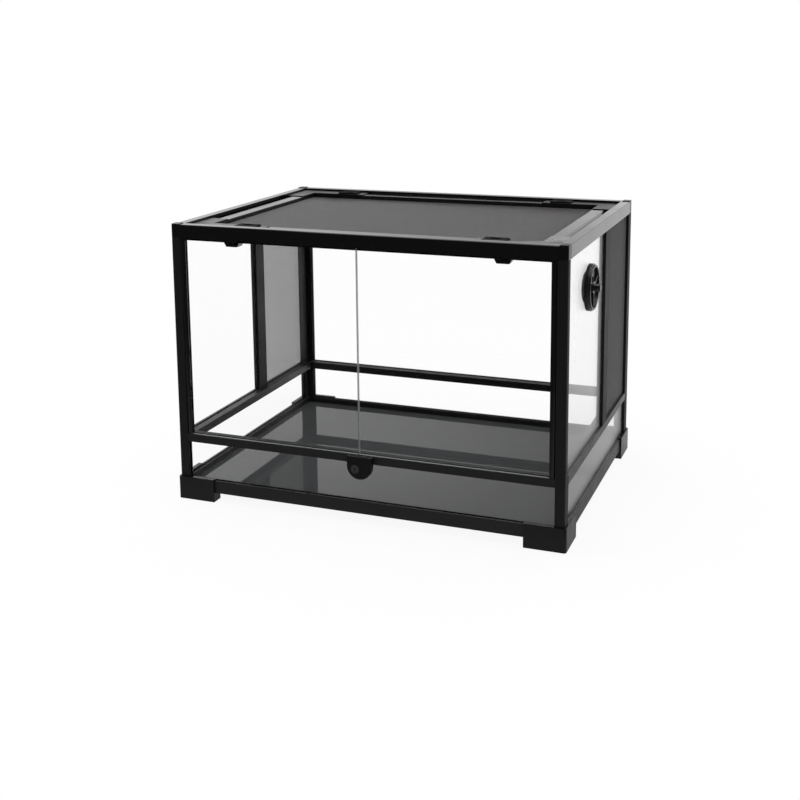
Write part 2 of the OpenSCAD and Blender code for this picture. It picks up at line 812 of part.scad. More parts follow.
module lock_cylinder() {
  px = cyl_x + crank_r * cos(crank_a);
  pz = cyl_z - crank_r * sin(crank_a);
  color(black) placed() difference() {
    union() {
      slab(cylinder_face, crank_y1) translate([cyl_x, cyl_z]) circle(cyl_r);
      slab(crank_y0, crank_y1) translate([cyl_x, cyl_z]) circle(cyl_r + 1);
      slab(crank_y1 - 0.5, bolt_y1 + 0.2) translate([px, pz]) circle(crank_pin_r);
    }
    slab(cylinder_face - eps, cylinder_face + 2.6) translate([cyl_x, cyl_z]) {
      square([1.2, 6.4], center = true);
      circle(1.5);
    }
    slab(cylinder_face - eps, cylinder_face + 0.5) translate([cyl_x, cyl_z]) difference() {
      circle(cyl_r - 1.4);
      circle(cyl_r - 2.1);
    }
  }
}

module lock_bolt() {
  side = crank_r * cos(crank_a);
  low = cyl_z - crank_r * sin(crank_a);
  play = 0.45;
  color(black) placed() slab(bolt_y0, bolt_y1) difference() {
    union() {
      translate([-bolt_half, lock_mid + 0.5])
        square([2 * bolt_half, mid_z1 - 0.1 - lock_mid - 0.5]);
      translate([cyl_x - 3.4, cyl_z - 7]) square([arm_w, lock_mid + 1 - cyl_z + 7]);
    }
    translate([cyl_x + side - crank_pin_r - play, low - crank_pin_r - play])
      square([crank_r - side + 2 * crank_pin_r + 2 * play, 2 * crank_pin_r + 2 * play]);
  }
}

// ---------------------------------------------------------------- lid
module bar_profile() {
  polygon([[lid_in, lid_z0], [lid_in, lid_z1 - slope_h], [lid_in + bar_slope, lid_z1],
    [bar_u1 - 0.5, lid_z1], [bar_u1, lid_z1 - 0.5], [bar_u1, slot_z1],
    [bar_u1 - bar_wall, slot_z1], [bar_u1 - bar_wall, lid_z1 - bar_wall],
    [lid_in + bar_slope + 0.45 * bar_wall, lid_z1 - bar_wall],
    [lid_in + bar_wall, lid_z1 - slope_h - 0.25 * bar_wall], [lid_in + bar_wall, slot_z0],
    [bar_u1, slot_z0], [bar_u1, lid_z0]]);
}

module lid_bar_x(rear) {
  placed() flip_y(rear) along_x(half_w - corner_u - corner_x) bar_profile();
}

module lid_bar_y(right) {
  y = half_d - corner_u - corner_y;
  placed() flip_x(right) along_y(-y, y) bar_profile();
}

module lid_bar_front() { color(black_soft) lid_bar_x(false); }
module lid_bar_rear() { color(black_soft) lid_bar_x(true); }
module lid_bar_left() { color(black_soft) lid_bar_y(false); }
module lid_bar_right() { color(black_soft) lid_bar_y(true); }

module corner_plan(outer, inner, over) {
  translate([outer, outer]) square([corner_x + corner_u - outer + over, inner - outer]);
  translate([outer, outer]) square([inner - outer, corner_y + corner_u - outer + over]);
}

module lid_corner() {
  slot_x = half_w - leg_x - leg_l - latch_travel - 0.4;
  difference() {
    translate([0, 0, lid_z0]) linear_extrude(corner_z1 - lid_z0) difference() {
      corner_plan(corner_u, bar_u1, 0);
      translate([corner_u, corner_u]) round_off(2);
    }
    translate([0, 0, slot_z1 - 0.1]) linear_extrude(corner_z1 - bar_wall - slot_z1 + 0.1)
      corner_plan(corner_u + bar_wall, bar_u1 - bar_wall, eps);
    translate([0, 0, slot_z0]) linear_extrude(slot_z1 - slot_z0)
      corner_plan(mesh_u, bar_u1 + eps, eps);
    translate([slot_x, leg_u - 0.4, lid_z0 - eps])
      cube([leg_l + latch_travel + 0.8, leg_w + 0.8, bar_h + corner_rise + 2 * eps]);
  }
}

module lid_corner_front_left() { color(black_soft) at_corner(false, false) lid_corner(); }
module lid_corner_front_right() { color(black_soft) at_corner(true, false) lid_corner(); }
module lid_corner_rear_left() { color(black_soft) at_corner(false, true) lid_corner(); }
module lid_corner_rear_right() { color(black_soft) at_corner(true, true) lid_corner(); }

module lid_mesh() {
  w = body_w - 2 * bar_u1;
  d = body_d - 2 * bar_u1;
  e = bar_u1 - mesh_u - 0.2;
  color(wire) placed() translate([-w / 2, -d / 2, mesh_z0]) linear_extrude(mesh_t) {
    net(w, d, lid_cols, lid_rows);
    difference() {
      translate([-e, -e]) square([w + 2 * e, d + 2 * e]);
      translate([-strand / 2, -strand / 2]) square([w + strand, d + strand]);
    }
  }
}

// Drawn for the front right latch: pad on the lid corner, leg and hook below
module lid_latch(right, rear) {
  pad_z = corner_z1 + 0.1;
  color(black) placed() flip_x(!right) flip_y(rear) translate([0, -half_d, 0]) {
    difference() {
      translate([latch_x, latch_u + latch_w, pad_z]) rotate([90, 0, 0]) linear_extrude(latch_w)
        polygon([[0, 0], [0, latch_t - 0.6], [1.2, latch_t], [latch_l - 3, latch_t],
          [latch_l, 0.8], [latch_l, 0]]);
      translate([latch_x + latch_l / 2 - 1, latch_u + latch_w / 2 + 2, pad_z + 0.9])
        linear_extrude(latch_t) {
          square([7, 9], center = true);
          for (s = [-1, 1]) translate([s * 3.5, 0]) circle(4.5);
        }
    }
    translate([leg_x, leg_u, hook_z0]) cube([leg_l, leg_w, pad_z + 0.5 - hook_z0]);
    translate([leg_x, leg_u, hook_z0]) cube([leg_l + hook_l, leg_w, hook_h]);
  }
}

module lid_latch_front_left() { lid_latch(false, false); }
module lid_latch_front_right() { lid_latch(true, false); }
module lid_latch_rear_left() { lid_latch(false, true); }
module lid_latch_rear_right() { lid_latch(true, true); }

// ---------------------------------------------------------------- cable port
module port_axis(x) {
  translate([x, port_y, port_z]) rotate([0, 90, 0]) children();
}

module ring(r1, r0) {
  difference() {
    circle(r1);
    circle(r0);
  }
}

module windows(turn) {
  for (k = [0, 120, 240])
    rotate(k + turn) intersection() {
      ring(tube_r - tube_wall - 1.5, window_in);
      polygon([[0, 0], [2 * tube_r, -2 * tube_r * tan(window_half)],
        [2 * tube_r, 2 * tube_r * tan(window_half)]]);
    }
}

module port_flange() {
  color(black) placed() {
    port_axis(port_x0) linear_extrude(port_floor) difference() {
      circle(port_r);
      circle(pivot_r + run_gap);
      windows(0);
    }
    port_axis(port_x0 + port_floor - 0.1) linear_extrude(port_t - port_floor - rim_step)
      ring(port_r, port_r - rim_w);
    port_axis(port_x0 + port_floor) linear_extrude(port_t - port_floor)
      ring(port_r - 2, port_r - rim_w);
    port_axis(port_x0 - tube_l) linear_extrude(tube_l + 0.1) ring(tube_r, tube_r - tube_wall);
  }
}

module port_nut() {
  color(black_soft) placed() port_axis(port_x0 - glass_t - nut_h) linear_extrude(nut_h) {
    ring(tube_r + nut_w, tube_r + run_gap);
    for (k = [0 : 30 : 330])
      rotate(k) translate([tube_r + nut_w - 0.6, -1.5]) square([1.4, 3]);
  }
}

module port_shutter() {
  color(black_soft) placed() {
    port_axis(shutter_x0) linear_extrude(shutter_t) difference() {
      circle(shutter_r);
      windows(shut_turn);
    }
    port_axis(shutter_x1 - 0.1) linear_extrude(port_x1 - shutter_x1 - 1.4) {
      circle(boss_r);
      for (k = [0, 120, 240])
        rotate(k) translate([boss_r - 1, -1]) square([shutter_r - boss_r, 2]);
    }
    port_axis(port_x0 - 2) cylinder(r = pivot_r, h = port_floor + 4);
    port_axis(shutter_x1 - 0.1) cylinder(r = knob_r, h = knob_end - shutter_x1 + 0.1);
  }
}

bottom_rail_front();
bottom_rail_rear();
bottom_rail_left();
bottom_rail_right();
foot_front_left();
foot_front_right();
foot_rear_left();
foot_rear_right();
floor_panel();
post_front_left();
post_front_right();
post_rear_left();
post_rear_right();
mid_rail_front();
mid_rail_rear();
mid_rail_left();
mid_rail_right();
top_rail_front();
top_rail_rear();
top_rail_left();
top_rail_right();
corner_cap_front_left();
corner_cap_front_right();
corner_cap_rear_left();
corner_cap_rear_right();
mullion_left();
mullion_right();
rear_upper_glass();
rear_lower_glass();
left_upper_glass();
right_upper_glass();
left_lower_glass();
right_lower_glass();
front_lower_glass();
vent_mesh_left();
vent_mesh_right();
door_glass_left();
door_glass_right();
door_hinge_left();
door_hinge_right();
lock_housing();
lock_cylinder();
lock_bolt();
lid_bar_front();
lid_bar_rear();
lid_bar_left();
lid_bar_right();
lid_corner_front_left();
lid_corner_front_right();
lid_corner_rear_left();
lid_corner_rear_right();
lid_mesh();
lid_latch_front_left();
lid_latch_front_right();
lid_latch_rear_left();
lid_latch_rear_right();
port_flange();
port_nut();
port_shutter();
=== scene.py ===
"""Looks of a glass reptile terrarium with a black plastic frame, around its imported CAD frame.

The finishes come first, then one class for each sub-assembly of the terrarium, then the studio. A
sub-assembly holds the sizes that its look needs, in millimetres, builds the pieces that the plain
solids lack, and dresses the rest.
"""

import json
import logging
import math
from dataclasses import dataclass, field
from enum import Enum
from typing import Any, Iterable, Optional

import bmesh
import bpy
from mathutils import Matrix, Vector

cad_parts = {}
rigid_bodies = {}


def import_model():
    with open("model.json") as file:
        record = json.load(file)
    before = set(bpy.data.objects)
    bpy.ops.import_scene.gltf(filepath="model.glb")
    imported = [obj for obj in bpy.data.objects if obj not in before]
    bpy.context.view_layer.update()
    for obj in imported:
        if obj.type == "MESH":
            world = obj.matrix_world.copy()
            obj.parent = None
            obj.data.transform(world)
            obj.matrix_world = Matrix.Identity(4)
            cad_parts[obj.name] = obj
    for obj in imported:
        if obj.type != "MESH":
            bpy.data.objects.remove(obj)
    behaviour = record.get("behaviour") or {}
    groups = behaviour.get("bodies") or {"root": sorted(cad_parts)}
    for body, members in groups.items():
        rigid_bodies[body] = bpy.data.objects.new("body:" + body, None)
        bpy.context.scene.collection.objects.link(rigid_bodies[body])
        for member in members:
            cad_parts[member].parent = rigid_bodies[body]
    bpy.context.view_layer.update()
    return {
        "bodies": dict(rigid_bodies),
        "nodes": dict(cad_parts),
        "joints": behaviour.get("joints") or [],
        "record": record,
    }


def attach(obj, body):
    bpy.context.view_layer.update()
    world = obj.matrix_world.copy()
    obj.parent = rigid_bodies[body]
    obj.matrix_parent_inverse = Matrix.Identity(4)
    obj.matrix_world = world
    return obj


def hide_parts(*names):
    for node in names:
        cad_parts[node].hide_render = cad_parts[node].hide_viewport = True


LOG = logging.getLogger("terrarium")
MM = 0.001
# The middle of the frame, from the middle of the whole part's box
SHIFT = Vector((-5.25, 2.65, 0.0))
SIDES = ("front", "rear", "left", "right")
CORNERS = ("front_left", "front_right", "rear_left", "rear_right")
# Vertices of a solid that are nearer than this are merged, in metres
WELD = 1e-5
# Faces that meet at less than the first are merged, edges sharper than the second are rounded
FLAT_ANGLE = math.radians(0.5)
SHARP_ANGLE = math.radians(35)


# --------------------------------------------------------------------------- small tools
def linear(code: str) -> tuple[float, float, float, float]:
    """Turns an sRGB hex colour into linear light.

    Args:
        code: Colour such as "#101112".

    Returns:
        Linear red, green and blue with an alpha of 1.
    """
    channels = [int(code[i : i + 2], 16) / 255 for i in (1, 3, 5)]
    light = [c / 12.92 if c <= 0.04045 else ((c + 0.055) / 1.055) ** 2.4 for c in channels]
    return (light[0], light[1], light[2], 1.0)


def add_node(
    tree: bpy.types.NodeTree,
    kind: str,
    settings: Optional[dict[str, Any]] = None,
    links: Optional[dict[Any, Any]] = None,
    values: Optional[dict[Any, Any]] = None,
) -> bpy.types.Node:
    """Adds one node with its settings, socket values and incoming links.

    Args:
        tree: Node tree that gets the node.
        kind: Node type, such as "ShaderNodeBump".
        settings: Attributes of the node.
        links: Input socket to the output socket that feeds it.
        values: Input socket to its plain value.

    Returns:
        The new node.
    """
    node = tree.nodes.new(kind)
    for name, value in (settings or {}).items():
        setattr(node, name, value)
    for socket, value in (values or {}).items():
        node.inputs[socket].default_value = value
    for socket, source in (links or {}).items():
        tree.links.new(source, node.inputs[socket])
    return node


def blank_material(
    name: str,
) -> tuple[bpy.types.Material, bpy.types.Node, bpy.types.Node]:
    """Makes a material that holds only its output and its texture coordinates.

    Args:
        name: Name of the material.

    Returns:
        The material, its output node and its coordinates node.
    """
    mat = bpy.data.materials.new(name)
    mat.use_nodes = True
    tree = mat.node_tree
    tree.nodes.clear()
    out = add_node(tree, "ShaderNodeOutputMaterial")
    coords = add_node(tree, "ShaderNodeTexCoord")
    return mat, out, coords


def point(x: float, y: float, z: float) -> Vector:
    """Returns a place given from the middle of the frame, in mm, as metres in the row frame."""
    return (Vector((x, y, z)) + SHIFT) * MM


def mesh_object(name: str, bm: bmesh.types.BMesh, material: bpy.types.Material) -> bpy.types.Object:
    """Makes an object at the origin from a finished bmesh.

    Args:
        name: Name of the piece.
        bm: Mesh in metres, in the row frame. It is freed.
        material: Finish of the whole piece.

    Returns:
        The new object, linked to the scene.
    """
    bmesh.ops.recalc_face_normals(bm, faces=bm.faces[:])
    mesh = bpy.data.meshes.new(name)
    bm.to_mesh(mesh)
    bm.free()
    mesh.materials.append(material)
    obj = bpy.data.objects.new(name, mesh)
    bpy.context.scene.collection.objects.link(obj)
    LOG.info("%s: %d faces", name, len(mesh.polygons))
    return obj


# --------------------------------------------------------------------------- finishes
class Texture(Enum):
    """How a plastic surface leaves its die or mould, with the spread of its roughness."""

    SATIN = 0.05
    GRAINED = 0.09


@dataclass(frozen=True)
class MouldedPlastic:
    """Black ABS or PVC, extruded or injection moulded, coloured right through."""

    name: str
    colour: str
    roughness: float
    texture: Texture = Texture.SATIN
    # The grain is finer than a render shows, so it is drawn at this size
    grain_mm: float = 1.4
    bump: float = 0.04
    ior: float = 1.5
    # Gloss changes slowly over this length, as the piece cools
    cloud_mm: float = 60.0
    # Painted shade and painted highlight in the grain: its hollows are this share darker and its
    # tops this share lighter than the colour
    grain_shade_and_highlight: float = 0.15

    def material(self) -> bpy.types.Material:
        """Builds the material.

        Returns:
            A plastic whose gloss varies a little, as a die or a mould leaves it.
        """
        mat, out, coords = blank_material(self.name)
        tree = mat.node_tree
        grain = add_node(
            tree,
            "ShaderNodeTexNoise",
            links={"Vector": coords.outputs["Object"]},
            values={"Scale": 1.0 / (self.grain_mm * MM), "Detail": 2.0, "Roughness": 0.5},
        )
        cloud = add_node(
            tree,
            "ShaderNodeTexNoise",
            links={"Vector": coords.outputs["Object"]},
            values={"Scale": 1.0 / (self.cloud_mm * MM), "Detail": 3.0, "Roughness": 0.55},
        )
        spread = self.texture.value
        gloss = add_node(
            tree,
            "ShaderNodeMapRange",
            links={"Value": cloud.outputs["Fac"]},
            values={
                "From Min": 0.3,
                "From Max": 0.7,
                "To Min": self.roughness - spread,
                "To Max": self.roughness + spread,
            },
        )
        base = linear(self.colour)[:3]
        # Painted shade in the grain's hollows and painted highlight on its tops, following the
        # bump's height
        tint = add_node(
            tree,
            "ShaderNodeMix",
            settings={"data_type": "RGBA"},
            links={"Factor": grain.outputs["Fac"]},
            values={
                "A": tuple(c * (1.0 - self.grain_shade_and_highlight) for c in base) + (1.0,),
                "B": tuple(c * (1.0 + self.grain_shade_and_highlight) for c in base) + (1.0,),
            },
        )
        bump = add_node(
            tree,
            "ShaderNodeBump",
            links={"Height": grain.outputs["Fac"]},
            values={"Strength": self.bump, "Distance": 0.2 * MM},
        )
        shader = add_node(
            tree,
            "ShaderNodeBsdfPrincipled",
            links={
                "Base Color": tint.outputs["Result"],
                "Roughness": gloss.outputs["Result"],
                "Normal": bump.outputs["Normal"],
            },
            values={"IOR": self.ior},
        )
        tree.links.new(shader.outputs["BSDF"], out.inputs["Surface"])
        return mat


class Facing(Enum):
    """Which axis the large faces of a pane look along."""

    SIDE = 0
    FRONT = 1


@dataclass(frozen=True)
class FloatGlass:
    """Clear soda-lime float glass, 4 mm thick, with ground edges.

    Seen straight on it almost vanishes, seen at a low angle it mirrors, and its ground edges are
    a pale grey green.
    """

    name: str
    facing: Facing
    edge_colour: str = "#8E9391"
    edge_cover: float = 0.85
    edge_roughness: float = 0.45
    # Share mirrored straight on, and at the lowest angle, where it is cut off at 1
    straight_on: float = 0.004
    grazing: float = 1.3
    # Power with which the mirroring grows between the two
    steepness: float = 7.0
    # Roughness of the mirrored picture
    haze: float = 0.0

    def material(self) -> bpy.types.Material:
        """Builds the material.

        Returns:
            A pane whose cover rises with the angle of sight, with frosted edges.
        """
        mat, out, coords = blank_material(self.name)
        tree = mat.node_tree
        axes = add_node(tree, "ShaderNodeSeparateXYZ", links={0: coords.outputs["Normal"]})
        along = add_node(
            tree,
            "ShaderNodeMath",
            settings={"operation": "ABSOLUTE"},
            links={0: axes.outputs[self.facing.value]},
        )
        edge = add_node(
            tree,
            "ShaderNodeMath",
            settings={"operation": "LESS_THAN"},
            links={0: along.outputs[0]},
            values={1: math.cos(math.radians(60))},
        )
        # Reflection grows steeply as the sight comes near to the plane of the pane
        weight = add_node(tree, "ShaderNodeLayerWeight", values={"Blend": 0.5})
        power = add_node(
            tree,
            "ShaderNodeMath",
            settings={"operation": "POWER"},
            links={0: weight.outputs["Facing"]},
            values={1: self.steepness},
        )
        mirror = add_node(
            tree,
            "ShaderNodeMapRange",
            links={"Value": power.outputs[0]},
            values={"To Min": self.straight_on, "To Max": self.grazing},
        )
        frosted = add_node(
            tree,
            "ShaderNodeMath",
            settings={"operation": "MULTIPLY"},
            links={0: edge.outputs[0]},
            values={1: self.edge_cover},
        )
        cover = add_node(
            tree,
            "ShaderNodeMath",
            settings={"operation": "MAXIMUM"},
            links={0: mirror.outputs["Result"], 1: frosted.outputs[0]},
        )
        tint = add_node(
            tree,
            "ShaderNodeMix",
            settings={"data_type": "RGBA"},
            links={"Factor": edge.outputs[0]},
            values={"A": (1, 1, 1, 1), "B": linear(self.edge_colour)},
        )
        metal = add_node(
            tree,
            "ShaderNodeMapRange",
            links={"Value": edge.outputs[0]},
            values={"To Min": 1.0, "To Max": 0.0},
        )
        gloss = add_node(
            tree,
            "ShaderNodeMapRange",
            links={"Value": edge.outputs[0]},
            values={"To Min": self.haze, "To Max": self.edge_roughness},
        )
        shader = add_node(
            tree,
            "ShaderNodeBsdfPrincipled",
            links={
                "Base Color": tint.outputs["Result"],
                "Metallic": metal.outputs["Result"],
                "Roughness": gloss.outputs["Result"],
                "Alpha": cover.outputs[0],
            },
            values={"IOR": 1.5},
        )
        tree.links.new(shader.outputs["BSDF"], out.inputs["Surface"])
        return mat


@dataclass(frozen=True)
class CoatedWire:
    """Steel wire cloth with a black epoxy coat, slightly glossy and a little uneven.

    Its fine wires catch light all over, which wires of the drawn size don't, so the coat is
    drawn as a dark grey.
    """

    name: str
    colour: str = "#595757"
    roughness: float = 0.34
    spread: float = 0.08
    # The coat pools over this length
    pool_mm: float = 9.0

    def material(self) -> bpy.types.Material:
        """Builds the material.

        Returns:
            Black coated metal.
        """
        mat, out, coords = blank_material(self.name)
        tree = mat.node_tree
        pools = add_node(
            tree,
            "ShaderNodeTexNoise",
            links={"Vector": coords.outputs["Object"]},
            values={"Scale": 1.0 / (self.pool_mm * MM), "Detail": 2.0},
        )
        gloss = add_node(
            tree,
            "ShaderNodeMapRange",
            links={"Value": pools.outputs["Fac"]},
            values={
                "To Min": self.roughness - self.spread,
                "To Max": self.roughness + self.spread,
            },
        )
        shader = add_node(
            tree,
            "ShaderNodeBsdfPrincipled",
            links={"Roughness": gloss.outputs["Result"]},
            values={"Base Color": linear(self.colour), "IOR": 1.5},
        )
        tree.links.new(shader.outputs["BSDF"], out.inputs["Surface"])
        return mat


@dataclass(frozen=True)
class GlossPlate:
    """The tank's floor: a smooth dark grey plate with a mirror-like skin."""

    name: str
    colour: str = "#4A4B4C"
    roughness: float = 0.02
    ior: float = 1.30
    # A rolled sheet isn't quite flat: its waves have this length
    wave_mm: float = 120.0

    def material(self) -> bpy.types.Material:
        """Builds the material.

        Returns:
            A glossy plate whose reflections waver slightly.
        """
        mat, out, coords = blank_material(self.name)
        tree = mat.node_tree
        waves = add_node(
            tree,
            "ShaderNodeTexNoise",
            links={"Vector": coords.outputs["Object"]},
            values={"Scale": 1.0 / (self.wave_mm * MM), "Detail": 1.0},
        )
        bump = add_node(
            tree,
            "ShaderNodeBump",
            links={"Height": waves.outputs["Fac"]},
            values={"Strength": 0.02, "Distance": MM},
        )
        shader = add_node(
            tree,
            "ShaderNodeBsdfPrincipled",
            links={"Normal": bump.outputs["Normal"]},
            values={
                "Base Color": linear(self.colour),
                "Roughness": self.roughness,
                "IOR": self.ior,
            },
        )
        tree.links.new(shader.outputs["BSDF"], out.inputs["Surface"])
        return mat


class Finish(Enum):
    """Every finish on the terrarium."""

    # Extruded PVC, calibrated in a polished die: deep black with a long soft sheen
    EXTRUSION = MouldedPlastic("extruded_pvc_black", "#0B0B0C", 0.13)
    # Injection moulded ABS with a fine spark grain: an even, dull black
    MOULDING = MouldedPlastic(
        "moulded_abs_black", "#09090A", 0.32, Texture.GRAINED, grain_mm=1.2, bump=0.10, ior=1.4
    )
    # The same extrusion from a duller die: a flat black without a mirrored edge
    LOW_RAIL = MouldedPlastic("low_rail_pvc_black", "#111112", 0.58)
    # Painted light: the side rails get the greyest black of the frame, a lighter colour that stands
    # in for the light falling on them from the side
    PAINTED_LIGHT_SIDE_RAIL = MouldedPlastic("side_rail_pvc_painted_light", "#202021", 0.45)
    # Uprights with a matt skin: nearly no sheen, so the posts stand out as plain bars
    UPRIGHT = MouldedPlastic("upright_pvc_black", "#0C0C0D", 0.70)
    # Polished slope of the lid's bars: a grey sheen where it mirrors the light from above
    LID_BAR = MouldedPlastic("lid_bar_pvc_black", "#0D0D0E", 0.15)
    # Moulded nylon, eroded and matt: the darkest spots on the lid
    LATCH = MouldedPlastic(
        "latch_nylon_black", "#0D0D0E", 0.80, Texture.GRAINED, grain_mm=1.0, bump=0.10, ior=1.2
    )
    # Moulded ABS, half matt: soft lights on the port's ring and ribs
    PORT = MouldedPlastic(
        "port_abs_black", "#131314", 0.30, Texture.GRAINED, grain_mm=1.2, bump=0.08
    )
    # Die-cast zinc under black lacquer: a dense matt black
    LOCK = MouldedPlastic(
        "lock_zinc_lacquered", "#08080A", 0.50, Texture.GRAINED, grain_mm=0.9, bump=0.06, ior=1.35
    )
    # The barrel's lacquer is thinner: a dark grey disc in the black housing
    KEY_BARREL = MouldedPlastic(
        "lock_barrel_zinc_grey", "#2A2B2D", 0.35, Texture.GRAINED, grain_mm=0.9
    )
    # Float glass: clear straight on, a mirror at a low angle, pale at its ground edges
    PANE_ACROSS = FloatGlass("float_glass_front_and_rear", Facing.FRONT)
    # The same glass with a thin film from handling, which blurs what the sides mirror
    PANE_ALONG = FloatGlass("float_glass_sides", Facing.SIDE, haze=0.4)
    # Woven and coated: a grey veil that lets what is behind it through
    SCREEN = CoatedWire("wire_cloth_epoxy_black")
    # Rolled and polished: a dark floor that mirrors the frame
    FLOOR = GlossPlate("floor_plate_gloss_grey")


class Palette:
    """Makes each finish once, when a piece first asks for it."""

    def __init__(self) -> None:
        """Starts with no material made."""
        self._made: dict[Finish, bpy.types.Material] = {}

    def get(self, finish: Finish) -> bpy.types.Material:
        """Returns the material of a finish, and makes it at the first call."""
        if finish not in self._made:
            self._made[finish] = finish.value.material()
        return self._made[finish]


# --------------------------------------------------------------------------- sub-assemblies
@dataclass
class SubAssembly:
    """A group of pieces that share a way of being made."""

    frame: dict[str, Any]
    palette: Palette

    def dress(self, names: Iterable[str], finish: Finish, edge_mm: float = 0.0) -> None:
        """Gives solids of the frame a finish and, where asked, softened edges.

        Args:
            names: Nodes to dress.
            finish: Their finish.
            edge_mm: Radius of the edges, 0 for none.
        """
        for name in names:
            obj = self.frame["nodes"][name]
            obj.data.materials.clear()
            obj.data.materials.append(self.palette.get(finish))
            if edge_mm > 0:
                self.soften(obj, edge_mm)
            LOG.info("%s dressed in %s", name, finish.name.lower())

    @staticmethod
    def soften(obj: bpy.types.Object, edge_mm: float) -> None:
        """Rounds the sharp edges of a solid a little, as a mould or a die leaves them."""
        weld = obj.modifiers.new("weld", "WELD")
        weld.merge_threshold = WELD
        flat = obj.modifiers.new("flat", "DECIMATE")
        flat.decimate_type = "DISSOLVE"
        flat.angle_limit = FLAT_ANGLE
        bevel = obj.modifiers.new("edge", "BEVEL")
        bevel.width = edge_mm * MM
        bevel.segments = 2
        bevel.limit_method = "ANGLE"
        bevel.angle_limit = SHARP_ANGLE
        bevel.use_clamp_overlap = True


@dataclass
class Carcass(SubAssembly):
    """Rails, posts, uprights, corner caps, feet and the floor."""

    rail_edge: float = 0.45
    moulding_edge: float = 0.6

    def build(self) -> None:
        """Dresses the fixed frame."""
        low = [f"{level}_rail_{s}" for level in ("bottom", "mid") for s in SIDES[:2]]
        painted_light_rails = [f"{level}_rail_{s}" for level in ("bottom", "mid") for s in SIDES[2:]]
        uprights = [f"post_{c}" for c in CORNERS] + ["mullion_left", "mullion_right"]
        self.dress([f"top_rail_{s}" for s in SIDES], Finish.EXTRUSION, self.rail_edge)
        self.dress(low, Finish.LOW_RAIL, self.rail_edge)
        # The side rails get a lighter black: painted light from the side
        self.dress(painted_light_rails, Finish.PAINTED_LIGHT_SIDE_RAIL, self.rail_edge)
        self.dress(uprights, Finish.UPRIGHT, self.rail_edge)
        for piece in ("foot", "corner_cap"):
            self.dress([f"{piece}_{c}" for c in CORNERS], Finish.MOULDING, self.moulding_edge)
        self.dress(["floor_panel"], Finish.FLOOR)


@dataclass
class Glazing(SubAssembly):
    """The fixed panes and the two door panes with their hinge strips."""

    strip_edge: float = 0.3

    def build(self) -> None:
        """Dresses the panes and the strips."""
        across = ["rear_upper_glass", "rear_lower_glass", "front_lower_glass"]
        across += ["door_glass_left", "door_glass_right"]
        along = [f"{side}_{row}_glass" for side in ("left", "right") for row in ("upper", "lower")]
        self.dress(across, Finish.PANE_ACROSS)
        self.dress(along, Finish.PANE_ALONG)
        self.dress(["door_hinge_left", "door_hinge_right"], Finish.EXTRUSION, self.strip_edge)


@dataclass
class WireCloth(SubAssembly):
    """Wire cloth of two layers of straight wires that touch where they cross.

    The real cloth is finer than a render shows, so it is drawn with thicker wires, further
    apart.
    """

    pitch: float = 2.0
    wire: float = 0.6
    flats: int = 6
    # From the cloth's middle to a layer's, as a share of the wire: under half, so they join
    rise: float = 0.46

    def layer(
        self, bm: bmesh.types.BMesh, length: float, width: float, level: float, turn: bool
    ) -> None:
        """Lays one layer of wires in the plane of X and Y.

        Args:
            bm: Mesh that gets the wires, in mm.
            length: Length of each wire.
            width: Breadth that the wires cover.
            level: Height of the wires' middles.
            turn: True for wires along Y.
        """
        count = int(width // self.pitch)
        first = bmesh.ops.create_cone(
            bm,
            cap_ends=True,
            segments=self.flats,
            radius1=self.wire / 2,
            radius2=self.wire / 2,
            depth=length,
            matrix=Matrix.Rotation(math.pi / 2, 4, "Y"),
        )["verts"]
        start = -(count - 1) * self.pitch / 2
        bmesh.ops.translate(bm, verts=first, vec=(0, start, level))
        source = list(dict.fromkeys(f for v in first for f in v.link_faces))
        whole = list(first)
        for i in range(1, count):
            made = bmesh.ops.duplicate(bm, geom=source)["geom"]
            verts = [g for g in made if isinstance(g, bmesh.types.BMVert)]
            bmesh.ops.translate(bm, verts=verts, vec=(0, i * self.pitch, 0))
            whole += verts
        if turn:
            quarter = Matrix.Rotation(math.pi / 2, 3, "Z")
            bmesh.ops.rotate(bm, verts=whole, cent=(0, 0, 0), matrix=quarter)

    def cloth(self, length: float, width: float) -> bmesh.types.BMesh:
        """Makes a sheet of cloth in the plane of X and Y, its middle at the origin.

        Args:
            length: Size along X in mm.
            width: Size along Y in mm.

        Returns:
            The sheet, in mm.
        """
        bm = bmesh.new()
        step = self.wire * self.rise
        self.layer(bm, length, width, -step, False)
        self.layer(bm, width, length, step, True)
        return bm


